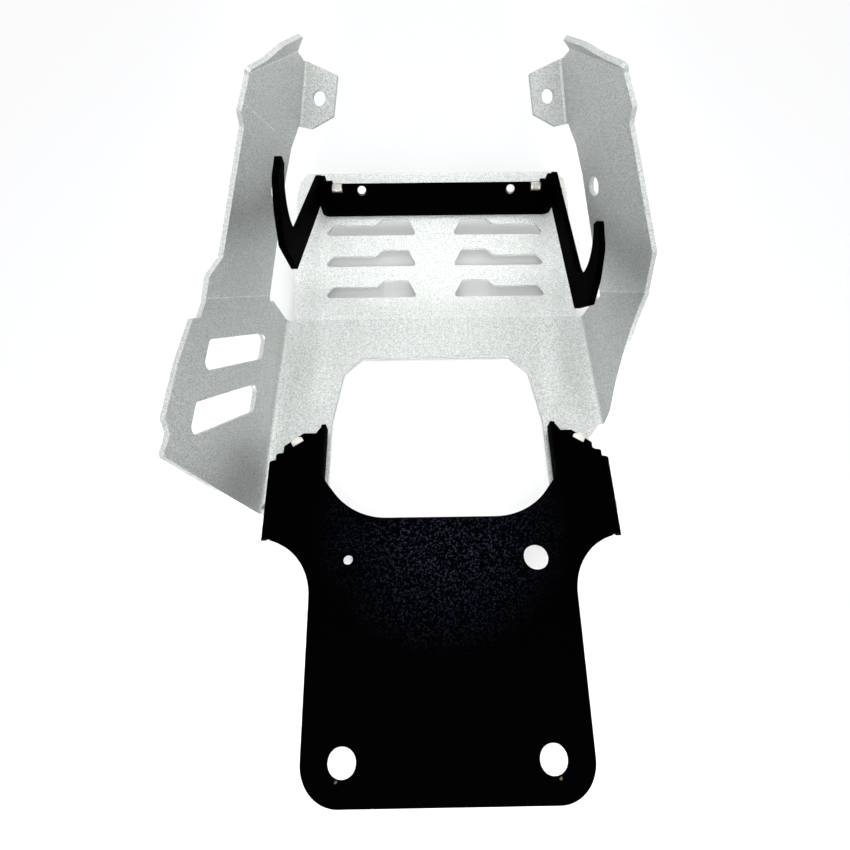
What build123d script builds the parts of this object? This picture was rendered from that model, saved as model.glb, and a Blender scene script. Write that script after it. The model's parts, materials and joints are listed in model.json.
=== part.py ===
from build123d import *
import os
from math import cos, hypot, radians, sin, sqrt, tan

# Motorcycle skid plate, in millimetres: X to the right, Y forward, Z up.
# The floor's underside is at Z 0, and the origin lies in the middle of the floor's front land.

# Sheet metal
SHEET = 4.0                 # thickness of every folded sheet
BEND = 4.0                  # inside radius of the main plate's and the guard's bends
TIGHT_BEND = 2.5            # inside radius of the bends of brackets, cross-bar and bolt tabs
UP = Vector(0, 0, 1)
DOWN = Vector(0, 0, -1)

# Floor of the main plate
NOSE_Y = 22.0               # where the inner faces of floor and front panel would meet
FLOOR_REAR = -172.0
EAR_HALF = 139.0            # outer face of the guard's ear flanges, from the middle
EAR_GAP = 10.0              # from that face to the side folds at the rear
FLOOR_TAPER = 5.5           # how much narrower the floor is at the nose, on each side
FLOOR_HALF_REAR = EAR_HALF + EAR_GAP
FLOOR_HALF_FRONT = FLOOR_HALF_REAR - FLOOR_TAPER
RIGHT_FOLD_END = -95.0      # the right fold is shorter than the left one
RIGHT_LEG_EDGE = 132.0      # outer edge of the right leg behind its slanted corner
CUT_FRONT = -22.0           # front edge of the opening between the legs
CUT_FRONT_HALF = 68.7
CUT_CORNER = (85.4, -38.5)
CUT_REAR_HALF = 94.0
CUT_SHOULDER = -90.0        # where the opening's sides become parallel
CUT_ROUND = 3.0

# Front panel
PANEL_RISE = 20.0           # degrees up from the floor
PANEL_HALF_LOW = 137.0
PANEL_HALF_MID = 134.0
PANEL_HALF_TOP = 131.0
PANEL_MID = 125.0           # distance up the panel
PANEL_TOP = 148.5
PANEL_CHAMFER = 8.0
SLOT_X = 1.3                # the slots sit this far right of the middle
SLOT_FIRST = 20.6           # lower edge of the lowest slot, up the panel
SLOT_PITCH = 31.4
SLOT_ROWS = 3
SLOT_INNER = 17.5           # lower corners, before rounding
SLOT_OUTER = 108.7
SLOT_LOW = 10.8             # height of the slot's narrow part
SLOT_HIGH = 17.2            # height of its tall part
SLOT_END = 9.0              # how far both ends slant inward
SLOT_TALL = 32.7            # length of the tall part's upper edge, from the inner corner
SLOT_STEP = 7.2             # length of the slope from the tall to the narrow part
SLOT_CORNER = 2.6

# Side walls and arms
WALL_ANGLE = 79.5           # fold from floor to wall, so the wall flares outward
ARM_ROOT = 34.7             # height of the arm bend's lower end above the wall's bend
ARM_LEAN = 39.0             # slope of the arm's bend line, back from upright
ARM_BEND = 18.0
ARM_BEND_LEFT = 109.5       # length of the left arm's bend line
ARM_BEND_RIGHT = 75.0
RIGHT_SAG = 5.8             # depth of the hollow in the right wall's upper edge
RIGHT_LOW = 12.5            # height of that edge's rear end above the wall's bend
ROOT_RELIEF = 3.5           # radius of the relief notch at the foot of the arm's bend
WINDOW_LOW = 31.0           # lower and upper side of the left wall's windows
WINDOW_HIGH = 106.5
WINDOW_BACK = (37.5, 88.5)  # front lower corner of each window, back along the wall
WINDOW_LONG = 27.0
WINDOW_SLANT = 57.0         # how far a window's upper side lies behind its lower side
WINDOW_CORNER = 5.0
STEP = ((121.5, 86.0), (129.0, 92.0))       # step down from the arm to the left wall's upper edge
CREST = 133.3               # height of that upper edge above the wall's bend
CREST_FRONT = (131.0, 20.0) # where its level part starts, back along the wall, and the rounding there
NOTCH = (126.0, 23.0, 16.5, 9.0)            # notch in it: height, then three places ahead of the rear end
NOTCH_ROUND = 3.0
WALL_END = (128.0, 3.5)     # upper rear corner: height and rounding
LOW_END = 6.0               # how far the right wall's edge stops ahead of its rear end
ARM_INNER = ((100.0, -2.0), (126.0, -6.0, 12.0), (140.5, -13.5, 5.0))
ARM_OUTER = ((134.0, 85.3), (129.0, 87.0, 3.0), (121.0, 80.5, 4.0), (29.0, 91.5, 5.0))
LEFT_SHOULDER = (15.0, 108.0, 4.0)
ARM_HOLE = (88.0, 15.7)
ARM_HOLE_D = 16.0
TAB_FOLD = ((145.0, -17.5), (193.5, -10.5))
TAB_ANGLE = 90.0
TAB_WIDTH = 26.3
TAB_FOOT = 8.0              # straight part of the tab's lower end
TAB_SLANT = 12.7            # rise of the slanted corner beyond it
TAB_TOP = 43.4              # upper outer corner
TAB_CORNER = 2.0
TAB_HOLE_OUT = 12.3
TAB_HOLE_ALONG = 24.2
TAB_HOLE_D = 11.5
LIP_FOLD = ((195.2, 5.6), (154.0, 81.2))
LEFT_LIP = (23.0, 10.4, -2.0)   # bend angle, then the lip's inner corner: off the fold and along it
RIGHT_LIP = (42.0, 8.2, 0.5)    # the two lips are bent and cut unequally
LIP_SHOULDER = (8.8, 35.0)
LIP_NECK = (3.0, 60.0)
LIP_NARROW = 1.5
LIP_CORNER = 2.0

# Rear guard
GUARD_Z = 28.0              # underside of the guard
GUARD_REAR = -371.0
GUARD_HALF_END = 95.5
GUARD_HALF_WAIST = 98.0
GUARD_CORNER = 26.0
EAR_FRONT = -133.0
EAR_ARC = 45.0              # radius of the concave edge behind the ear
EAR_ARC_Y = -243.0          # where that edge runs into the waist
MOUTH_FLAT = 42.0           # half of the straight inner edge
MOUTH_Y = -184.0
MOUTH_ARC = 52.0            # radius beside the straight edge
MOUTH_TURN = 53.0           # steepest slope of the mouth's sides, in degrees
MOUTH_SHOULDER = 31.0       # radius that runs out to the ear's front edge
GUARD_HOLE_D = 19.0
GUARD_SMALL_D = 7.5
GUARD_HOLE = (70.5, -215.5)
GUARD_END_HOLE = (69.0, -346.0)

# Corner brackets
BRACKET_WEB = 95.5          # inner upright face
BRACKET_REAR = -184.0
BRACKET_FRONT = -101.0
BRACKET_TIP = -99.0         # front edge of the upright face
BRACKET_EDGE = 133.0        # outer edge of the base
BRACKET_CORNER = (117.0, -113.0)    # chamfer of the base: its inner X and its rear Y
TOP_FRONT = -110.0          # the top's slanted front edge, inner end
TOP_FRONT_OUT = -127.5      # outer end
FLANGE_FOOT = 8.8           # lower edge of the ears' flanges
FLANGE_CUT = 12.0           # how far the flanges' rear ends slant forward
FLANGE_CORNER = 4.0
FLANGE_BACK = 2.0           # the guard's flange starts this far behind the ear's front edge

# Cross-bar and hooks
BAR_LOW = 104.0             # up the panel
BAR_HIGH = 136.0
BAR_X = 3.5                 # the bar sits this far right of the middle
BAR_HALF = 111.0            # from the bar's middle to the outer face of its turned-up ends
BAR_BOLT_X = 73.0           # from the bar's middle
BAR_BOLT_UP = 127.0
PIVOT_UP = 125.5            # hook bolt's place up the panel
PIVOT_OFF = 14.0            # hook bolt's height off the panel
BAR_END_REACH = 13.0        # top of the turned-up end above the hook bolt
BAR_END_ROUND = 11.0
HOOK_THICK = 5.0
HOOK_PLAY = 0.3             # gap on each face and round the bolt of a hook
HOOK_HALF = 11.0            # half width of the hook's arm
HOOK_EYE = 12.0             # end of the arm beyond the bolt
EYE_CORNER = 8.0
HOOK_CORNER = 3.0
CLAW_ROUND = (12.0, 14.0)   # rounding of the claw's back and shoulder
THROAT = 27.2               # radius of the hook's throat
THROAT_REACH = 125.4        # from the bolt to the throat's centre
CLAW_HEEL = 28.0            # lower corner of the claw, beyond the throat's centre
CLAW_TIP = (53.0, 18.0)     # rearmost corner: beyond the throat's centre, above the arm's middle
CLAW_BACK = (49.5, 41.0)
CLAW_SHOULDER = (39.0, 60.0)
HORN = (19.5, 69.0)         # outer corner of the claw's upper end
HORN_TURN = 59.0            # where the throat ends, in degrees up from level
LEFT_SWING = 24.0           # degrees that each hook's arm rises to the rear
RIGHT_SWING = 8.0

# Fasteners
M8 = 8.0
M8_HOLE = 8.6
M8_FLATS = 13.0
M8_NUT = 6.5
M8_HEAD = 5.3
BUTTON_D = 14.0
BUTTON_H = 4.4
BUTTON_RIM = 1.0            # height of the button head's straight edge
BUTTON_TOP = 7.4            # diameter of its flat top
SOCKET = 5.0                # across the flats of the button heads' sockets
SOCKET_DEEP = 2.6
M6 = 6.0
M6_HOLE = 6.4
M6_FLATS = 10.0
M6_NUT = 4.6                # height of the foot nut's hexagon
M6_COLLAR = (8.6, 1.8)      # diameter and height of its locking collar
CONE_PLAY = 0.2             # gap round the foot bolt's countersunk head
HOOK_BOLT_END = 9.0         # bare bolt beyond the nut
BAR_BOLT_END = 4.0
EAR_BOLT_END = 3.0
EAR_BOLT = (-172.0, 15.0)   # Y and Z
FOOT_BOLT = (120.5, -111.5)
FOOT_BOLT_END = 0.6


def outline(*corners):
    """Face inside the corners, each (x, y) or (x, y, rounding radius)."""
    radii = [corner[2] if len(corner) > 2 else 0 for corner in corners]
    return make_face(FilletPolyline(*[corner[:2] for corner in corners], radius=radii, close=True))


def flat(plane, face, thickness=SHEET):
    """Sheet whose inner face lies on the plane."""
    return extrude(plane * face, amount=thickness, dir=-plane.z_dir)


def setback(angle, radius=BEND):
    """Distance from a bend's end to where the two inner faces would meet."""
    return radius * tan(radians(angle) / 2)


def inset(line, distance):
    """The line moved to the left of its own direction."""
    (ax, ay), (bx, by) = line
    long = hypot(bx - ax, by - ay)
    across = ((ay - by) / long * distance, (bx - ax) / long * distance)
    return (ax + across[0], ay + across[1]), (bx + across[0], by + across[1])


def fold(start, end, normal, angle, radius=BEND):
    """Bend of a sheet along an edge, towards the inner face, and the plane of the flange beyond it.

    The sheet lies to the left of the way from start to end, seen with the normal towards the eye.
    The flange's X runs away from the bend and its Y runs from start to end.
    """
    along = (end - start).normalized()
    out = along.cross(normal)
    turn = radians(angle)
    rim = radius + SHEET

    def arc_point(size, share):
        return size * sin(turn * share), radius - size * cos(turn * share)

    section = make_face(
        [
            Line((0, -SHEET), (0, 0)),
            ThreePointArc(arc_point(radius, 0), arc_point(radius, 0.5), arc_point(radius, 1)),
            Line(arc_point(radius, 1), arc_point(rim, 1)),
            ThreePointArc(arc_point(rim, 1), arc_point(rim, 0.5), arc_point(rim, 0)),
        ]
    )
    strip = extrude(Plane(start, x_dir=out, z_dir=-along) * section, (end - start).length, dir=along)
    origin = start + out * radius * sin(turn) + normal * radius * (1 - cos(turn))
    return strip, Plane(
        origin,
        x_dir=out * cos(turn) + normal * sin(turn),
        z_dir=normal * cos(turn) - out * sin(turn),
    )


def fold_on(plane, line, angle, radius=BEND):
    """The same for a line drawn on a sheet's plane."""
    start, end = [plane.from_local_coords(Vector(*point, 0)) for point in line]
    return fold(start, end, plane.z_dir, angle, radius)


def half_width(y):
    """Half width of the floor's flat part, to the start of the side folds."""
    share = (NOSE_Y - y) / (NOSE_Y - FLOOR_REAR)
    return FLOOR_HALF_FRONT + (FLOOR_HALF_REAR - FLOOR_HALF_FRONT) * share - setback(WALL_ANGLE)


FLOOR_FRONT = NOSE_Y - setback(PANEL_RISE)


def cone_hole(x, y):
    """Countersunk hole for a foot bolt, from the floor's underside."""
    return Pos(x, y, SHEET / 2) * Cone(M6 / 2 + SHEET + CONE_PLAY, M6 / 2 + CONE_PLAY, SHEET)


def floor():
    """Flat floor with two legs behind the opening."""
    slant = half_width(RIGHT_FOLD_END) - RIGHT_LEG_EDGE
    plate = outline(
        (half_width(FLOOR_FRONT), FLOOR_FRONT),
        (-half_width(FLOOR_FRONT), FLOOR_FRONT),
        (-half_width(FLOOR_REAR), FLOOR_REAR),
        (-CUT_REAR_HALF, FLOOR_REAR),
        (-CUT_REAR_HALF, CUT_SHOULDER),
        (-CUT_CORNER[0], CUT_CORNER[1], CUT_ROUND),
        (-CUT_FRONT_HALF, CUT_FRONT, CUT_ROUND),
        (CUT_FRONT_HALF, CUT_FRONT, CUT_ROUND),
        (CUT_CORNER[0], CUT_CORNER[1], CUT_ROUND),
        (CUT_REAR_HALF, CUT_SHOULDER),
        (CUT_REAR_HALF, FLOOR_REAR),
        (RIGHT_LEG_EDGE, FLOOR_REAR),
        (RIGHT_LEG_EDGE, RIGHT_FOLD_END - slant),
        (half_width(RIGHT_FOLD_END), RIGHT_FOLD_END),
    )
    plate = flat(Plane.XY.offset(SHEET), plate)
    for side in (-1, 1):
        plate -= cone_hole(side * FOOT_BOLT[0], FOOT_BOLT[1])
    return plate


def slot(low, side):
    """One slot of the front panel: long and narrow, with a tall inner part."""
    tall = SLOT_INNER + SLOT_TALL
    corners = [
        (SLOT_INNER, low),
        (SLOT_OUTER, low),
        (SLOT_OUTER - SLOT_END, low + SLOT_LOW),
        (tall + SLOT_STEP, low + SLOT_LOW),
        (tall, low + SLOT_HIGH),
        (SLOT_INNER + SLOT_END, low + SLOT_HIGH),
    ]
    return outline(*[(up, side * across - SLOT_X, SLOT_CORNER) for across, up in corners])


def panel_bend():
    """Bend at the nose and the plane of the front panel, its Y pointing left from the middle."""
    right = Vector(PANEL_HALF_LOW, FLOOR_FRONT, SHEET)
    left = Vector(-PANEL_HALF_LOW, FLOOR_FRONT, SHEET)
    strip, plane = fold(right, left, UP, PANEL_RISE)
    middle = plane.from_local_coords(Vector(0, PANEL_HALF_LOW, 0))
    return strip, Plane(middle, x_dir=plane.x_dir, z_dir=plane.z_dir)


def front_panel(plane):
    """Raised front panel with its slots and the bolt holes of the cross-bar."""
    low = setback(PANEL_RISE)
    half = [
        (0, PANEL_HALF_LOW),
        (PANEL_MID - low, PANEL_HALF_MID),
        (PANEL_TOP - PANEL_CHAMFER - low, PANEL_HALF_TOP),
        (PANEL_TOP - low, PANEL_HALF_TOP - PANEL_CHAMFER),
    ]
    face = outline(*[(up, -across) for up, across in half], *reversed(half))
    for side in (-1, 1):
        for row in range(SLOT_ROWS):
            face -= slot(SLOT_FIRST + row * SLOT_PITCH, side)
        face -= Pos(BAR_BOLT_UP - low, side * BAR_BOLT_X - BAR_X) * Circle(M8_HOLE / 2)
    return flat(plane, face)


def window(back):
    """Slanted window of the left wall."""
    return outline(
        (WINDOW_LOW, back, WINDOW_CORNER),
        (WINDOW_HIGH, back + WINDOW_SLANT, WINDOW_CORNER),
        (WINDOW_HIGH, back + WINDOW_SLANT + WINDOW_LONG, WINDOW_CORNER),
        (WINDOW_LOW, back + WINDOW_LONG, WINDOW_CORNER),
    )


def arm_line(length):
    """The arm's bend line on the wall, from its lower end."""
    top = (ARM_ROOT + length * cos(radians(ARM_LEAN)), length * sin(radians(ARM_LEAN)))
    return (ARM_ROOT, 0), top


def arm(plane, bend_length, lip_shape, shoulder):
    """Arm in front of the wall, with its bolt tab and its end lip, on the arm's own plane."""
    lip_angle, *lip_corner = lip_shape
    tab_line = inset(TAB_FOLD, setback(TAB_ANGLE, TIGHT_BEND))
    lip_line = inset(LIP_FOLD, setback(lip_angle))
    face = outline(
        (0, 0),
        *ARM_INNER,
        *tab_line,
        *lip_line,
        *ARM_OUTER,
        *shoulder,
        (0, bend_length),
    )
    face -= Pos(*ARM_HOLE) * Circle(ARM_HOLE_D / 2)
    tab_bend, tab_plane = fold_on(plane, tab_line, TAB_ANGLE, TIGHT_BEND)
    lip_bend, lip_plane = fold_on(plane, lip_line, lip_angle)
    return [flat(plane, face), tab_bend, tab(tab_plane), lip_bend, lip(lip_plane, lip_corner)]


def tab(plane):
    """Bolt tab folded inward at the arm's lower edge."""
    length = hypot(TAB_FOLD[1][0] - TAB_FOLD[0][0], TAB_FOLD[1][1] - TAB_FOLD[0][1])
    face = outline(
        (0, 0),
        (TAB_FOOT, 0),
        (TAB_WIDTH, TAB_SLANT, TAB_CORNER),
        (TAB_WIDTH, TAB_TOP, TAB_CORNER),
        (0, length),
    )
    return flat(plane, face - Pos(TAB_HOLE_OUT, TAB_HOLE_ALONG) * Circle(TAB_HOLE_D / 2))


def lip(plane, corner):
    """Tapered lip folded inward at the arm's end."""
    length = hypot(LIP_FOLD[1][0] - LIP_FOLD[0][0], LIP_FOLD[1][1] - LIP_FOLD[0][1])
    face = outline(
        (0, 0),
        (*corner, LIP_CORNER),
        (*LIP_SHOULDER, LIP_CORNER),
        (*LIP_NECK, LIP_CORNER),
        (LIP_NARROW, length - LIP_CORNER),
        (0, length),
    )
    return flat(plane, face)


def side(rear, bend_length, lip_shape, top_edge, shoulder=(), windows=(), sag=0.0):
    """Bend, wall, arm, tab and lip of a left-hand side."""
    front = Vector(-half_width(FLOOR_FRONT), FLOOR_FRONT, SHEET)
    back = Vector(-half_width(rear), rear, SHEET)
    wall_bend, wall_plane = fold(front, back, UP, WALL_ANGLE)
    length = (back - front).length
    root, top = arm_line(bend_length)
    wall = outline((0, 0), root, top, *top_edge(length), (0, length))
    if sag:
        wall -= hollow(top, top_edge(length)[0], sag)
    for place in windows:
        wall -= window(place)
    wall -= Pos(ARM_ROOT - ROOT_RELIEF, 1) * Circle(ROOT_RELIEF)
    arm_bend, arm_plane = fold_on(wall_plane, (root, top), ARM_BEND)
    sheets = arm(arm_plane, bend_length, lip_shape, shoulder)
    return [wall_bend, flat(wall_plane, wall), arm_bend, *sheets]


def left_top_edge(length):
    """Upper edge of the left wall: a step, a long edge and a shallow notch near the rear."""
    deep, front, low, rear = NOTCH
    return [
        *STEP,
        (CREST, *CREST_FRONT),
        (CREST, length - front),
        (deep, length - low, NOTCH_ROUND),
        (deep, length - rear, NOTCH_ROUND),
        (WALL_END[0], length, WALL_END[1]),
    ]


def right_top_edge(length):
    """Upper edge of the right wall: one slope down to a low rear end."""
    return [(RIGHT_LOW, length - LOW_END)]


def hollow(start, end, depth):
    """Sliver between a straight edge and an arc to the left of its direction."""
    start, end = Vector(*start), Vector(*end)
    left = Vector(0, 0, 1).cross((end - start).normalized())
    return make_face([ThreePointArc(start, (start + end) / 2 + left * depth, end), Line(end, start)])


def main_plate():
    """The whole folded plate, one sheet."""
    nose, panel_plane = panel_bend()
    pieces = [floor(), nose, front_panel(panel_plane)]
    pieces += side(FLOOR_REAR, ARM_BEND_LEFT, LEFT_LIP, left_top_edge, (LEFT_SHOULDER,), WINDOW_BACK)
    right = side(RIGHT_FOLD_END, ARM_BEND_RIGHT, RIGHT_LIP, right_top_edge, sag=RIGHT_SAG)
    pieces += [mirror(piece, about=Plane.YZ) for piece in right]
    return pieces[0].fuse(*pieces[1:])


def guard_mouth():
    """The part cut from the guard's front: a straight edge that curves out to both ears."""
    slope = radians(MOUTH_TURN)
    curves = (MOUTH_ARC + MOUTH_SHOULDER) * (1 - cos(slope))
    flank = (EAR_FRONT - MOUTH_Y - curves) / sin(slope)
    low = JernArc((MOUTH_FLAT, MOUTH_Y), (1, 0), MOUTH_ARC, MOUTH_TURN)
    middle = Line(low @ 1, low @ 1 + (low % 1) * flank)
    high = JernArc(middle @ 1, middle % 1, MOUTH_SHOULDER, -MOUTH_TURN)
    end = high @ 1
    rise = Line(end, end + Vector(0, SHEET, 0))
    half = make_face(
        [
            Line((0, MOUTH_Y), (MOUTH_FLAT, MOUTH_Y)),
            low,
            middle,
            high,
            rise,
            Line(rise @ 1, (0, EAR_FRONT + SHEET)),
            Line((0, EAR_FRONT + SHEET), (0, MOUTH_Y)),
        ]
    )
    return half + mirror(half, about=Plane.YZ)


def ear_flange(face_x, front, radius, bend_z, height):
    """Flange turned down along the left ear, from the plate's underside, with its bolt hole."""
    edge = -(face_x - SHEET - radius)
    rear = EAR_ARC_Y + sqrt(EAR_ARC**2 - (GUARD_HALF_WAIST + EAR_ARC - (face_x - SHEET)) ** 2)
    strip, plane = fold(Vector(edge, rear, bend_z), Vector(edge, front, bend_z), DOWN, 90, radius)
    long = front - rear
    face = outline((0, 0), (height, FLANGE_CUT, FLANGE_CORNER), (height, long, FLANGE_CORNER), (0, long))
    face -= Pos(bend_z - radius - EAR_BOLT[1], EAR_BOLT[0] - rear) * Circle(M8_HOLE / 2)
    return [strip, flat(plane, face)]


def rear_guard():
    """Black guard plate with two ears turned down at their outer edges."""
    ear = EAR_HALF - SHEET - BEND
    face = outline(
        (ear, EAR_FRONT),
        (-ear, EAR_FRONT),
        (-ear, EAR_ARC_Y),
        (-GUARD_HALF_WAIST, EAR_ARC_Y),
        (-GUARD_HALF_END, GUARD_REAR, GUARD_CORNER),
        (GUARD_HALF_END, GUARD_REAR, GUARD_CORNER),
        (GUARD_HALF_WAIST, EAR_ARC_Y),
        (ear, EAR_ARC_Y),
    )
    face -= guard_mouth()
    for way in (-1, 1):
        face -= Pos(way * (GUARD_HALF_WAIST + EAR_ARC), EAR_ARC_Y) * Circle(EAR_ARC)
        face -= Pos(way * GUARD_END_HOLE[0], GUARD_END_HOLE[1]) * Circle(GUARD_HOLE_D / 2)
    face -= Pos(*GUARD_HOLE) * Circle(GUARD_HOLE_D / 2)
    face -= Pos(-GUARD_HOLE[0], GUARD_HOLE[1]) * Circle(GUARD_SMALL_D / 2)
    plate = flat(Plane.XY.offset(GUARD_Z + SHEET), face)
    height = GUARD_Z - BEND - FLANGE_FOOT
    left = ear_flange(EAR_HALF, EAR_FRONT - FLANGE_BACK, BEND, GUARD_Z, height)
    right = [mirror(piece, about=Plane.YZ) for piece in left]
    return plate.fuse(*left, *right)


def corner_bracket():
    """Left bracket: base on the floor, inner web, top under the guard and outer flange."""
    base_z = 2 * SHEET
    edge = BRACKET_WEB + SHEET + TIGHT_BEND
    base = outline(
        (-edge, BRACKET_REAR),
        (-edge, BRACKET_FRONT),
        (-BRACKET_CORNER[0], BRACKET_FRONT),
        (-BRACKET_EDGE, BRACKET_CORNER[1]),
        (-BRACKET_EDGE, BRACKET_REAR),
    )
    base -= Pos(-FOOT_BOLT[0], FOOT_BOLT[1]) * Circle(M6_HOLE / 2)
    pieces = [flat(Plane.XY.offset(base_z), base)]

    low = Vector(-edge, BRACKET_REAR, base_z)
    web_bend, web_plane = fold(low, Vector(-edge, BRACKET_FRONT, base_z), UP, 90, TIGHT_BEND)
    rise = GUARD_Z - SHEET - base_z - 2 * TIGHT_BEND
    tip = BRACKET_TIP - BRACKET_REAR
    web = outline((0, 0), (rise, 0), (rise, tip), (0, tip))
    pieces += [web_bend, flat(web_plane, web)]

    top_bend, top_plane = fold_on(web_plane, ((rise, 0), (rise, tip)), 90, TIGHT_BEND)
    slant = outline((-BRACKET_WEB, BRACKET_TIP), (-edge, TOP_FRONT), (-edge, BRACKET_TIP))
    top_bend -= extrude(slant, GUARD_Z)
    length = TOP_FRONT - BRACKET_REAR
    across = EAR_HALF - 2 * SHEET - TIGHT_BEND - edge
    short = TOP_FRONT_OUT - BRACKET_REAR
    pieces += [top_bend, flat(top_plane, outline((0, 0), (across, 0), (across, short), (0, length)))]

    flange_bend, flange_plane = fold_on(top_plane, ((across, 0), (across, short)), 90, TIGHT_BEND)
    height = GUARD_Z - SHEET - TIGHT_BEND - FLANGE_FOOT
    flange = outline(
        (0, 0), (height, 0, FLANGE_CORNER), (height, short, FLANGE_CORNER), (0, short)
    )
    down = GUARD_Z - SHEET - TIGHT_BEND - EAR_BOLT[1]
    flange -= Pos(down, EAR_BOLT[0] - BRACKET_REAR) * Circle(M8_HOLE / 2)
    pieces += [flange_bend, flat(flange_plane, flange)]
    return pieces[0].fuse(*pieces[1:])


def bar_plane(panel_plane):
    """Plane of the cross-bar's upper face, lying on the front panel."""
    origin = panel_plane.from_local_coords(Vector(-setback(PANEL_RISE), 0, SHEET))
    return Plane(origin, x_dir=panel_plane.x_dir, z_dir=panel_plane.z_dir)


def cross_bar(plane):
    """Strip across the front panel with both ends turned up for the hooks."""
    end = BAR_HALF - SHEET - TIGHT_BEND
    strip = outline((BAR_LOW, -end), (BAR_HIGH, -end), (BAR_HIGH, end), (BAR_LOW, end))
    for way in (-1, 1):
        strip -= Pos(BAR_BOLT_UP, way * BAR_BOLT_X) * Circle(M8 / 2)
    bend, end_plane = fold_on(plane, ((BAR_HIGH, end), (BAR_LOW, end)), 90, TIGHT_BEND)
    long = BAR_HIGH - BAR_LOW
    lift = PIVOT_OFF - SHEET - TIGHT_BEND
    top = lift + BAR_END_REACH
    face = outline((0, 0), (top, 0, BAR_END_ROUND), (top, long, BAR_END_ROUND), (0, long))
    face -= Pos(lift, BAR_HIGH - PIVOT_UP) * Circle(M8_HOLE / 2)
    left = [bend, flat(end_plane, face)]
    right = [mirror(piece, about=Plane.YZ) for piece in left]
    return flat(plane, strip).fuse(*left, *right)


def pivot_point(plane):
    """Middle point of the hook bolts' common axis."""
    return plane.from_local_coords(Vector(PIVOT_UP, 0, PIVOT_OFF - SHEET))


def hook(pivot, swing):
    """Left hook: an arm to the rear that ends in a claw with a round throat."""
    centre = (THROAT_REACH, HOOK_HALF + THROAT)
    horn = radians(HORN_TURN)
    face = outline(
        (-HOOK_EYE, -HOOK_HALF, EYE_CORNER),
        (THROAT_REACH + CLAW_HEEL, -HOOK_HALF, HOOK_CORNER),
        (THROAT_REACH + CLAW_TIP[0], CLAW_TIP[1], HOOK_CORNER),
        (THROAT_REACH + CLAW_BACK[0], CLAW_BACK[1], CLAW_ROUND[0]),
        (THROAT_REACH + CLAW_SHOULDER[0], CLAW_SHOULDER[1], CLAW_ROUND[1]),
        (THROAT_REACH + HORN[0], HORN[1], HOOK_CORNER),
        (centre[0] + THROAT * cos(horn), centre[1] + THROAT * sin(horn)),
        centre,
        (THROAT_REACH, HOOK_HALF),
        (-HOOK_EYE, HOOK_HALF, EYE_CORNER),
    )
    face -= Pos(*centre) * Circle(THROAT)
    face -= Circle(M8 / 2 + HOOK_PLAY)
    rise = radians(swing)
    plane = Plane(
        pivot + Vector(-BAR_HALF - HOOK_PLAY, 0, 0),
        x_dir=(0, -cos(rise), sin(rise)),
        z_dir=(-1, 0, 0),
    )
    return extrude(plane * face, amount=HOOK_THICK, dir=plane.z_dir)


def shank(plane, size, length):
    """Round shank along the plane's Z."""
    return extrude(plane * Circle(size / 2), length)


def hexagon(plane, flats, height, hole=0.0):
    """Hexagon standing on the plane, bored for a nut."""
    face = RegularPolygon(flats / 2, 6, major_radius=False)
    if hole:
        face -= Circle(hole / 2)
    return extrude(plane * face, height)


def button_bolt(plane, size, length):
    """Bolt with a low button head below the plane and a hexagon socket in it."""
    profile = Polyline(
        (0, 0),
        (BUTTON_D / 2, 0),
        (BUTTON_D / 2, -BUTTON_RIM),
        (BUTTON_TOP / 2, -BUTTON_H),
        (0, -BUTTON_H),
        close=True,
    )
    head = revolve(Plane.XZ * make_face(profile), Axis.Z)
    socket = extrude(RegularPolygon(SOCKET / 2, 6, major_radius=False), SOCKET_DEEP)
    head -= Pos(0, 0, -BUTTON_H) * socket
    return (plane.location * head) + shank(plane, size, length)


def hook_bolt(pivot):
    """Left hook bolt: hexagon head outside the hook, bare end inside the nut."""
    reach = HOOK_THICK + 2 * HOOK_PLAY + SHEET + M8_NUT + HOOK_BOLT_END
    seat = pivot + Vector(-BAR_HALF - HOOK_THICK - 2 * HOOK_PLAY, 0, 0)
    inward = Plane(seat, x_dir=(0, 0, 1), z_dir=(1, 0, 0))
    outward = Plane(seat, x_dir=(0, 0, 1), z_dir=(-1, 0, 0))
    return hexagon(outward, M8_FLATS, M8_HEAD) + shank(inward, M8, reach)


def hook_nut(pivot):
    """Nut on the inner face of the cross-bar's turned-up end."""
    seat = Plane(pivot + Vector(-BAR_HALF + SHEET, 0, 0), x_dir=(0, 0, 1), z_dir=(1, 0, 0))
    return hexagon(seat, M8_FLATS, M8_NUT, M8)


def bar_bolt(plane):
    """Left bolt from under the front panel into the cross-bar."""
    under = plane.from_local_coords(Vector(BAR_BOLT_UP, BAR_BOLT_X, -2 * SHEET))
    seat = Plane(under, x_dir=(1, 0, 0), z_dir=plane.z_dir)
    return button_bolt(seat, M8, 2 * SHEET + BAR_BOLT_END)


def ear_bolt():
    """Left bolt through the guard's ear flange and the bracket's flange."""
    seat = Plane((-EAR_HALF, *EAR_BOLT), x_dir=(0, 0, 1), z_dir=(1, 0, 0))
    return button_bolt(seat, M8, 2 * SHEET + M8_NUT + EAR_BOLT_END)


def ear_nut():
    """Nut inside the left bracket, its flats level."""
    seat = Plane((-EAR_HALF + 2 * SHEET, *EAR_BOLT), x_dir=(0, 1, 0), z_dir=(1, 0, 0))
    return hexagon(seat, M8_FLATS, M8_NUT, M8)


def foot_bolt():
    """Left bolt with a countersunk head, flush with the floor's underside."""
    seat = Plane((-FOOT_BOLT[0], FOOT_BOLT[1], 0))
    head = Pos(0, 0, SHEET / 2) * Cone(M6 / 2 + SHEET, M6 / 2, SHEET)
    reach = 2 * SHEET + M6_NUT + M6_COLLAR[1] + FOOT_BOLT_END
    return (seat.location * head) + shank(seat, M6, reach)


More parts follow.
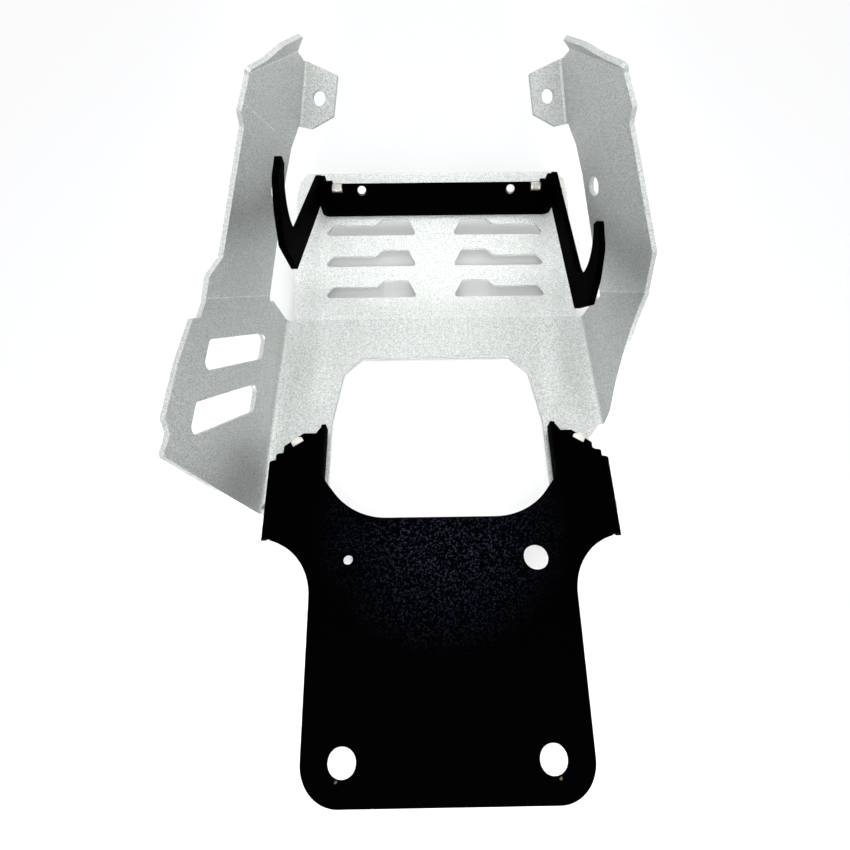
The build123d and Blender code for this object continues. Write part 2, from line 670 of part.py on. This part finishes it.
def foot_nut():
    """Lock nut on the left bracket's base: a hexagon with a round collar on it."""
    seat = Plane((-FOOT_BOLT[0], FOOT_BOLT[1], 2 * SHEET))
    width, height = M6_COLLAR
    collar = Cylinder(width / 2, height) - Cylinder(M6 / 2, height)
    collar = seat.location * Pos(0, 0, M6_NUT + height / 2) * collar
    return hexagon(seat, M6_FLATS, M6_NUT, M6) + collar


def save(shape, name, shift=0.0):
    """Write a piece, moved to the right by the shift."""
    export_step(Pos(shift, 0, 0) * shape, f"parts/{name}.step")


def save_pair(shape, name, shift=0.0):
    """Write a left-hand piece and its mirror image on the right."""
    save(shape, f"left_{name}", shift)
    save(mirror(shape, about=Plane.YZ), f"right_{name}", shift)


os.makedirs("parts", exist_ok=True)
upper = bar_plane(panel_bend()[1])
pivot = pivot_point(upper)
save(main_plate(), "main_plate")
save(rear_guard(), "rear_guard")
save(cross_bar(upper), "cross_bar", BAR_X)
save(hook(pivot, LEFT_SWING), "left_hook", BAR_X)
save(mirror(hook(pivot, RIGHT_SWING), about=Plane.YZ), "right_hook", BAR_X)
save_pair(hook_bolt(pivot), "hook_bolt", BAR_X)
save_pair(hook_nut(pivot), "hook_nut", BAR_X)
save_pair(bar_bolt(upper), "bar_bolt", BAR_X)
save_pair(corner_bracket(), "corner_bracket")
save_pair(ear_bolt(), "ear_bolt")
save_pair(ear_nut(), "ear_nut")
save_pair(foot_bolt(), "foot_bolt")
save_pair(foot_nut(), "foot_nut")
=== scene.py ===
import json
import math

import bpy
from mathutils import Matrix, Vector


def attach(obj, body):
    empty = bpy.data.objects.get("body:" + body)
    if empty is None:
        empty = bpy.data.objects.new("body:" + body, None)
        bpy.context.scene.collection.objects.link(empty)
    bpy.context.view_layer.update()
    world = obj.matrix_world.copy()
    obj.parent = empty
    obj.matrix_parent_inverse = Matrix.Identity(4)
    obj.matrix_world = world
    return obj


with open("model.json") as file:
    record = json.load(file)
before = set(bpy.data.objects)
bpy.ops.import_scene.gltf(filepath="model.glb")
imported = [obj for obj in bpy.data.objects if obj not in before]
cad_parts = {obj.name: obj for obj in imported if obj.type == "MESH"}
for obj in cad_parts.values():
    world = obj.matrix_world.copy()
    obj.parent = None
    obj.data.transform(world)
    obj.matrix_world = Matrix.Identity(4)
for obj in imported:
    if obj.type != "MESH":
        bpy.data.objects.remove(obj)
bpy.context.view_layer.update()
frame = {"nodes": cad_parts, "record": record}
NODES = frame["nodes"]

# Sizes in metres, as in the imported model
EDGE_BREAK = 0.00035        # softened edge of cut sheet metal
FASTENER_BREAK = 0.0003     # softened edge of bolts and nuts
WELD_REACH = 0.000004       # corners closer than this are joined
SHEET_NODES = (
    "main_plate",
    "rear_guard",
    "cross_bar",
    "left_corner_bracket",
    "right_corner_bracket",
    "left_hook",
    "right_hook",
)
WORN_RIM = (0.072, -0.3563, 0.032)  # bare spot at the rim of each rear guard hole, on the right side
WORN_EDGE = (0.0016, 0.0021)        # the spot's reach, and where it has faded out
GLINT_MIDDLE = (0.0, -0.185, 0.03)  # the coat's flecks, painted glints of its sheen, gather round this point of the guard
GLINT_EDGE = (0.035, 0.1)           # distances from it over which the painted glints fade out
CREASE = (                  # painted highlight line along a faint crease across the left arm, on its inner face
    Vector((-0.1272, 0.0989, 0.1495)),
    Vector((-0.1347, 0.0689, 0.1925)),
)
ARM_FOLD = (                # fold from wall to arm, on the right side, where a painted highlight line runs
    Vector((0.1508, 0.0207, 0.0435)),
    Vector((0.1676, -0.0450, 0.1238)),
)
LIP_FOLD = (                # fold from arm to lip, on the right side, where a painted highlight line runs
    Vector((0.1094, 0.1606, 0.1729)),
    Vector((0.1296, 0.0862, 0.2029)),
)
HIGHLIGHT_EDGE = (0.0002, 0.0007)        # half width of a painted highlight line, and where it has faded out
HIGHLIGHT_END = 0.001            # length over which a painted highlight line fades past its ends
PANEL_NORMAL = Vector((0.0, -math.sin(math.radians(20)), math.cos(math.radians(20))))
M8_RADIUS = 0.004
M8_PITCH = 0.00125
THREAD_RISE = 0.0002        # ridge of a thread above the bolt's shank
THREAD_SINK = 0.00002       # foot of the ridge below the shank's surface
THREAD_STEPS = 36           # points of a thread's turn
THREAD_FADE = 9             # points over which the ridge rises at each end
END_DEPTH = 0.00001         # corners this close to a bolt's tip belong to its end face
BARE_ENDS = {               # each bolt's bare end: the way it points and its length
    "left_hook_bolt": (Vector((1, 0, 0)), 0.009),
    "right_hook_bolt": (Vector((-1, 0, 0)), 0.009),
    "left_bar_bolt": (PANEL_NORMAL, 0.004),
    "right_bar_bolt": (PANEL_NORMAL, 0.004),
    "left_ear_bolt": (Vector((1, 0, 0)), 0.003),
    "right_ear_bolt": (Vector((-1, 0, 0)), 0.003),
}
TABLE_SIZE = 12.0
TABLE_DROP = 0.0006         # gap between the part and the table
TABLE_FADE = (0.5, 1.1)     # distances from the origin over which the table turns plain white

# Angles in degrees
FLAT_ANGLE = 0.4            # faces that differ by less are joined to one flat
BREAK_ANGLE = 40            # edges sharper than this are softened
SMOOTH_ANGLE = 32           # edges sharper than this stay sharp in the shading

# Colours
METAL_DARK = (0.68, 0.705, 0.69, 1)
METAL_LIGHT = (0.76, 0.785, 0.77, 1)
METAL_PIT = (0.40, 0.42, 0.41, 1)
# painted highlight along the folds and the crease
METAL_FOLD_HIGHLIGHT = (0.95, 0.96, 0.95, 1)
COAT = (0.0004, 0.0004, 0.0006, 1)
# pale flecks: dust, and painted glints of the coat's sheen
COAT_DUST_AND_GLINT = (0.020, 0.023, 0.040, 1)
COAT_WORN = (0.14, 0.10, 0.055, 1)
ZINC_DARK = (0.56, 0.54, 0.49, 1)
ZINC_LIGHT = (0.67, 0.66, 0.63, 1)
TABLE_DARK = (0.34, 0.34, 0.34, 1)
TABLE_LIGHT = (0.36, 0.36, 0.36, 1)
WHITE = (1, 1, 1, 1)
DAYLIGHT = (0.97, 0.98, 1.0, 1)


class Tree:
    """Small helper that adds and links shader nodes."""

    def __init__(self, tree):
        self.tree = tree
        self.count = 0

    def add(self, kind, **values):
        node = self.tree.nodes.new(kind)
        node.location = (180 * self.count, -40 * (self.count % 7))
        self.count += 1
        for name, value in values.items():
            setattr(node, name, value)
        return node

    def link(self, source, target):
        self.tree.links.new(source, target)

    def value(self, source, target):
        """Link a socket, or set a constant."""
        if isinstance(source, bpy.types.NodeSocket):
            self.link(source, target)
        else:
            target.default_value = source

    def math(self, operation, a, b=0.0):
        node = self.add("ShaderNodeMath", operation=operation)
        self.value(a, node.inputs[0])
        self.value(b, node.inputs[1])
        return node.outputs[0]

    def noise(self, vector, scale, detail=2.0, roughness=0.5):
        node = self.add("ShaderNodeTexNoise")
        self.link(vector, node.inputs["Vector"])
        node.inputs["Scale"].default_value = scale
        node.inputs["Detail"].default_value = detail
        node.inputs["Roughness"].default_value = roughness
        return node.outputs["Fac"]

    def remap(self, source, low, high, new_low=0.0, new_high=1.0):
        node = self.add("ShaderNodeMapRange", clamp=True)
        self.link(source, node.inputs["Value"])
        names = ("From Min", "From Max", "To Min", "To Max")
        for name, value in zip(names, (low, high, new_low, new_high)):
            node.inputs[name].default_value = value
        return node.outputs["Result"]

    def mix(self, share, first, second):
        """Mix of two colours, whose sockets share their names with those of other types."""
        node = self.add("ShaderNodeMix", data_type="RGBA")
        self.value(share, node.inputs["Factor"])
        self.value(first, node.inputs[6])
        self.value(second, node.inputs[7])
        return node.outputs[2]

    def blend(self, share, first, second):
        """Mix of two shaders."""
        node = self.add("ShaderNodeMixShader")
        self.link(share, node.inputs["Fac"])
        self.link(first, node.inputs[1])
        self.link(second, node.inputs[2])
        return node.outputs[0]

    def bump(self, height, strength, distance):
        node = self.add("ShaderNodeBump")
        node.inputs["Strength"].default_value = strength
        node.inputs["Distance"].default_value = distance
        self.link(height, node.inputs["Height"])
        return node.outputs["Normal"]

    def vector_math(self, operation, vector, other):
        node = self.add("ShaderNodeVectorMath", operation=operation)
        self.link(vector, node.inputs[0])
        node.inputs[1].default_value = other
        return node.outputs[0]

    def stretch(self, vector, scale):
        return self.vector_math("MULTIPLY", vector, scale)

    def offset(self, vector, place):
        """Vector from a place."""
        return self.vector_math("SUBTRACT", vector, place)

    def cross(self, vector, way):
        return self.vector_math("CROSS_PRODUCT", vector, way)

    def length(self, vector):
        node = self.add("ShaderNodeVectorMath", operation="LENGTH")
        self.link(vector, node.inputs[0])
        return node.outputs["Value"]

    def group(self, tree, vector):
        node = self.add("ShaderNodeGroup", node_tree=tree)
        self.link(vector, node.inputs["Vector"])
        return node


def new_group(name, outputs):
    """Shader group with one vector input and the named outputs."""
    tree = bpy.data.node_groups.new(name, "ShaderNodeTree")
    tree.interface.new_socket("Vector", in_out="INPUT", socket_type="NodeSocketVector")
    for output in outputs:
        tree.interface.new_socket(output, in_out="OUTPUT", socket_type="NodeSocketFloat")
    t = Tree(tree)
    start = t.add("NodeGroupInput")
    end = t.add("NodeGroupOutput")
    return t, start.outputs["Vector"], end


def grain_group():
    """Fine pebble of blasted or coated metal, and larger soft clouds."""
    t, vector, end = new_group("Metal grain", ("Grain", "Cloud"))
    coarse = t.noise(vector, 1100.0, 2.0, 0.6)
    fine = t.noise(vector, 2400.0, 1.0, 0.5)
    grain = t.math("ADD", t.math("MULTIPLY", coarse, 0.6), t.math("MULTIPLY", fine, 0.4))
    cloud = t.noise(vector, 14.0, 3.0, 0.55)
    t.link(grain, end.inputs["Grain"])
    t.link(cloud, end.inputs["Cloud"])
    return t.tree


GRAIN = grain_group()


def new_material(name):
    """Material with one Principled shader, and the place on the piece."""
    material = bpy.data.materials.new(name)
    material.use_nodes = True
    material.node_tree.nodes.clear()
    t = Tree(material.node_tree)
    out = t.add("ShaderNodeOutputMaterial")
    shader = t.add("ShaderNodeBsdfPrincipled")
    t.link(shader.outputs[0], out.inputs["Surface"])
    place = t.add("ShaderNodeTexCoord").outputs["Object"]
    return material, t, shader, place


def mirrored(t, place):
    """Place with its left side turned onto the right one."""
    parts = t.add("ShaderNodeSeparateXYZ")
    t.link(place, parts.inputs[0])
    whole = t.add("ShaderNodeCombineXYZ")
    t.link(t.math("ABSOLUTE", parts.outputs["X"]), whole.inputs["X"])
    t.link(parts.outputs["Y"], whole.inputs["Y"])
    t.link(parts.outputs["Z"], whole.inputs["Z"])
    return whole.outputs[0]


def highlight_line_mask(t, place, line):
    """Mask of a fine painted highlight line on the sheet between two points."""
    start, end = line
    half = (end - start) / 2
    from_middle = t.offset(place, (start + end) / 2)
    from_line = t.length(t.cross(from_middle, half.normalized()))
    thin = t.remap(from_line, *HIGHLIGHT_EDGE, 1.0, 0.0)
    near = t.remap(t.length(from_middle), half.length, half.length + HIGHLIGHT_END, 1.0, 0.0)
    return t.math("MULTIPLY", thin, near)


def painted_highlight_lines(t, place):
    """Broken painted highlight lines along the folds of arms and lips, and the left arm's crease."""
    both = mirrored(t, place)
    folds = t.math("MAXIMUM", highlight_line_mask(t, both, ARM_FOLD), highlight_line_mask(t, both, LIP_FOLD))
    lines = t.math("MAXIMUM", folds, highlight_line_mask(t, place, CREASE))
    return t.math("MULTIPLY", lines, t.remap(t.noise(place, 300.0), 0.35, 0.6, 0.15, 0.65))


def aluminium():
    """Bare blasted sheet: pale grey metal with a fine pebble, soft clouds, faint streaks and painted
    highlight lines along its folds and crease.
    """
    material, t, shader, place = new_material("Blasted aluminium")
    grain = t.group(GRAIN, place).outputs
    streak = t.noise(t.stretch(place, (420.0, 9.0, 420.0)), 1.0, 2.0, 0.55)
    tone = t.math("ADD", t.math("MULTIPLY", grain["Cloud"], 0.6), t.math("MULTIPLY", streak, 0.4))
    base = t.mix(t.remap(tone, 0.35, 0.65), METAL_DARK, METAL_LIGHT)
    speckled = t.mix(t.remap(grain["Grain"], 0.42, 0.54), METAL_PIT, base)
    # painted highlight lines along the folds and the crease lighten the metal's colour here
    t.link(t.mix(painted_highlight_lines(t, place), speckled, METAL_FOLD_HIGHLIGHT), shader.inputs["Base Color"])
    shader.inputs["Metallic"].default_value = 0.8
    t.link(t.remap(grain["Cloud"], 0.3, 0.7, 0.56, 0.66), shader.inputs["Roughness"])
    t.link(t.bump(grain["Grain"], 0.7, 0.00018), shader.inputs["Normal"])
    return material


def worn_rims(t, place):
    """Mask of the bare spots beside the two rear holes of the guard."""
    from_spot = t.offset(mirrored(t, place), WORN_RIM)
    ragged = t.math("MULTIPLY", t.noise(place, 1100.0), 0.002)
    return t.remap(t.math("ADD", t.length(from_spot), ragged), *WORN_EDGE, 1.0, 0.0)


def dust_and_glint_flecks(t, place, haze):
    """Mask of the coat's small pale flecks of dust and painted glint, thicker where the haze is."""
    cells = t.add("ShaderNodeTexVoronoi")
    t.link(place, cells.inputs["Vector"])
    cells.inputs["Scale"].default_value = 750.0
    dots = t.remap(cells.outputs["Distance"], 0.22, 0.55, 1.0, 0.0)
    gate = t.remap(t.noise(place, 430.0, 1.0), 0.40, 0.54)
    return t.math("MULTIPLY", t.math("MULTIPLY", dots, gate), haze)


def black_coat():
    """Matt textured powder coat with pale flecks of dust and painted glint, and bare metal worn
    through at the guard's rear holes.
    """
    material, t, shader, place = new_material("Black powder coat")
    grain = t.group(GRAIN, place).outputs
    # painted glints of the coat's sheen gather round the guard's middle, among the dust flecks
    middle = t.remap(t.length(t.offset(place, GLINT_MIDDLE)), *GLINT_EDGE, 1.0, 0.0)
    haze = t.math("MULTIPLY", t.remap(grain["Cloud"], 0.30, 0.50), middle)
    base = t.mix(dust_and_glint_flecks(t, place, haze), COAT, COAT_DUST_AND_GLINT)
    t.link(t.mix(worn_rims(t, place), base, COAT_WORN), shader.inputs["Base Color"])
    t.link(t.remap(grain["Grain"], 0.3, 0.7, 0.5, 0.7), shader.inputs["Roughness"])
    shader.inputs["Specular IOR Level"].default_value = 0.0015
    t.link(t.bump(grain["Grain"], 0.6, 0.0002), shader.inputs["Normal"])
    return material


def zinc():
    """Bright zinc plating with a faint grain."""
    material, t, shader, place = new_material("Bright zinc")
    grain = t.group(GRAIN, place).outputs
    base = t.mix(t.remap(grain["Cloud"], 0.35, 0.65), ZINC_DARK, ZINC_LIGHT)
    t.link(base, shader.inputs["Base Color"])
    shader.inputs["Metallic"].default_value = 1.0
    t.link(t.remap(grain["Grain"], 0.3, 0.7, 0.24, 0.38), shader.inputs["Roughness"])
    t.link(t.bump(grain["Grain"], 0.15, 0.0001), shader.inputs["Normal"])
    return material


def seen_ray(t):
    """1 for rays that show the surroundings: from the camera, in gloss and through clear pieces."""
    path = t.add("ShaderNodeLightPath").outputs
    clear = t.math("MAXIMUM", path["Is Glossy Ray"], path["Is Transmission Ray"])
    return t.math("MAXIMUM", path["Is Camera Ray"], clear)


def table_top():
    """Plain table, white where it is seen, that keeps a soft shadow and throws little light back."""
    material, t, shader, place = new_material("White table")
    cloud = t.noise(place, 6.0, 3.0)
    t.link(t.mix(cloud, TABLE_DARK, TABLE_LIGHT), shader.inputs["Base Color"])
    t.link(t.remap(cloud, 0.3, 0.7, 0.85, 0.95), shader.inputs["Roughness"])
    shader.inputs["Specular IOR Level"].default_value = 0.0
    near = t.add("ShaderNodeBsdfDiffuse")
    near.inputs["Color"].default_value = WHITE
    far = t.add("ShaderNodeEmission")
    seen = t.blend(t.remap(t.length(place), *TABLE_FADE), near.outputs[0], far.outputs[0])
    surface = t.blend(seen_ray(t), shader.outputs[0], seen)
    t.link(surface, material.node_tree.nodes["Material Output"].inputs["Surface"])
    return material


MATERIALS = {
    "bare_aluminium": aluminium(),
    "black_powder_coat": black_coat(),
    "zinc_steel": zinc(),
}


def smooth_group():
    """Geometry group that shades smooth except at sharp edges."""
    tree = bpy.data.node_groups.new("Smooth by angle", "GeometryNodeTree")
    tree.interface.new_socket("Geometry", in_out="INPUT", socket_type="NodeSocketGeometry")
    tree.interface.new_socket("Geometry", in_out="OUTPUT", socket_type="NodeSocketGeometry")
    t = Tree(tree)
    start = t.add("NodeGroupInput")
    end = t.add("NodeGroupOutput")
    faces = t.add("GeometryNodeSetShadeSmooth", domain="FACE")
    edges = t.add("GeometryNodeSetShadeSmooth", domain="EDGE")
    angle = t.add("GeometryNodeInputMeshEdgeAngle")
    limit = t.add("FunctionNodeCompare", data_type="FLOAT", operation="LESS_EQUAL")
    limit.inputs["B"].default_value = math.radians(SMOOTH_ANGLE)
    t.link(angle.outputs["Unsigned Angle"], limit.inputs["A"])
    t.link(start.outputs[0], faces.inputs["Geometry"])
    t.link(faces.outputs[0], edges.inputs["Geometry"])
    t.link(limit.outputs[0], edges.inputs["Shade Smooth"])
    t.link(edges.outputs[0], end.inputs[0])
    return tree


SMOOTH = smooth_group()


def dress(obj, name):
    """Soften a CAD piece's edges and shade its bends smooth."""
    weld = obj.modifiers.new("Join", "WELD")
    weld.merge_threshold = WELD_REACH
    merge = obj.modifiers.new("Flats", "DECIMATE")
    merge.decimate_type = "DISSOLVE"
    merge.angle_limit = math.radians(FLAT_ANGLE)
    bevel = obj.modifiers.new("Edge break", "BEVEL")
    bevel.width = EDGE_BREAK if name in SHEET_NODES else FASTENER_BREAK
    bevel.segments = 2
    bevel.limit_method = "ANGLE"
    bevel.angle_limit = math.radians(BREAK_ANGLE)
    soft = obj.modifiers.new("Shade", "NODES")
    soft.node_group = SMOOTH
    flats = obj.modifiers.new("Flat faces", "WEIGHTED_NORMAL")
    flats.keep_sharp = True
    flats.weight = 100


def paint(obj, slot):
    """Give a CAD piece the material of its slot."""
    obj.data.materials.clear()
    obj.data.materials.append(MATERIALS[slot])


SLOT_OF = {entry["node"]: entry["material_slot"] for entry in frame["record"]["subparts"]}
for name, obj in NODES.items():
    dress(obj, name)
    paint(obj, SLOT_OF[name])


def thread(bolt, way, bare):
    """Helical ridge round the bare end of a bolt."""
    points = [vertex.co for vertex in NODES[bolt].data.vertices]
    reach = max(point.dot(way) for point in points)
    end = [point for point in points if reach - point.dot(way) < END_DEPTH]
    start = sum(end, Vector()) / len(end) - way * (bare - M8_PITCH / 2)
    side = way.orthogonal().normalized()
    other = way.cross(side)
    count = int((bare - M8_PITCH) / M8_PITCH * THREAD_STEPS)
    # The ridge's section: each corner's place along the bolt, as a share of the pitch, and its rise
    ridge = ((-0.35, 0.0), (-0.06, THREAD_RISE), (0.06, THREAD_RISE), (0.35, 0.0))
    corners, faces = [], []
    for step in range(count + 1):
        turn = 2 * math.pi * step / THREAD_STEPS
        fade = min(1.0, step / THREAD_FADE, (count - step) / THREAD_FADE)
        out = side * math.cos(turn) + other * math.sin(turn)
        for share, rise in ridge:
            up = (step / THREAD_STEPS + share) * M8_PITCH
            corners.append(start + way * up + out * (M8_RADIUS - THREAD_SINK + rise * fade))
        if step:
            row = 4 * step
            faces += [(row + k, row + k + 1, row + k - 3, row + k - 4) for k in range(3)]
    mesh = bpy.data.meshes.new(f"{bolt}_thread")
    mesh.from_pydata(corners, [], faces)
    mesh.materials.append(MATERIALS["zinc_steel"])
    obj = bpy.data.objects.new(f"{bolt}_thread", mesh)
    bpy.context.scene.collection.objects.link(obj)
    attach(obj, "plate")


for bolt, (way, bare) in BARE_ENDS.items():
    thread(bolt, way, bare)


def lamp(name, size, power, place, aim, spread=180):
    """Soft rectangular lamp aimed at a point, with its beam's spread in degrees."""
    data = bpy.data.lights.new(name, "AREA")
    data.shape = "RECTANGLE"
    data.size, data.size_y = size
    data.energy = power
    data.spread = math.radians(spread)
    obj = bpy.data.objects.new(name, data)
    bpy.context.scene.collection.objects.link(obj)
    obj.location = place
    obj.rotation_euler = (Vector(aim) - Vector(place)).to_track_quat("-Z", "Y").to_euler()
    return obj


def surroundings():
    """World that is white where it is seen and lights the part softly."""
    world = bpy.data.worlds.new("Studio")
    world.use_nodes = True
    world.node_tree.nodes.clear()
    t = Tree(world.node_tree)
    out = t.add("ShaderNodeOutputWorld")
    seen = t.add("ShaderNodeBackground")
    seen.inputs["Color"].default_value = WHITE
    lit = t.add("ShaderNodeBackground")
    lit.inputs["Color"].default_value = DAYLIGHT
    lit.inputs["Strength"].default_value = 0.56
    t.link(t.blend(seen_ray(t), lit.outputs[0], seen.outputs[0]), out.inputs["Surface"])
    return world


def studio():
    """White table, soft lamps, white surroundings and the camera."""
    scene = bpy.context.scene
    bpy.ops.mesh.primitive_plane_add(size=TABLE_SIZE, location=(0, 0, -TABLE_DROP))
    table = bpy.context.object
    table.name = "Table"
    table.data.materials.append(table_top())

    middle = (0.0, -0.1, 0.05)
    lamp("Key", (0.35, 0.35), 4.3, (0.03, 0.6, 1.6), middle)
    lamp("Ceiling softbox", (1.7, 1.6), 3.1, (0.0, 0.1, 1.6), (0.0, 0.1, 0.0))
    lamp("Front softbox", (2.2, 1.2), 3.3, (0.0, 1.3, 1.45), middle)
    lamp("Rear softbox", (2.0, 1.4), 10.5, (0.0, -1.1, 1.35), middle)
    lamp("Low rear strip", (0.5, 0.06), 0.8, (0.0, -0.75, 0.07), (0.0, -0.25, 0.0), 16)
    scene.world = surroundings()

    data = bpy.data.cameras.new("Camera")
    data.sensor_width = 36.0
    data.lens = 23.29
    data.clip_start = 0.01
    camera = bpy.data.objects.new("Camera", data)
    scene.collection.objects.link(camera)
    camera.location = (-0.0142, -0.2988, 0.446)
    camera.rotation_euler = (math.radians(25), 0, math.radians(-0.88))
    scene.camera = camera
    scene.view_settings.view_transform = "Standard"


studio()
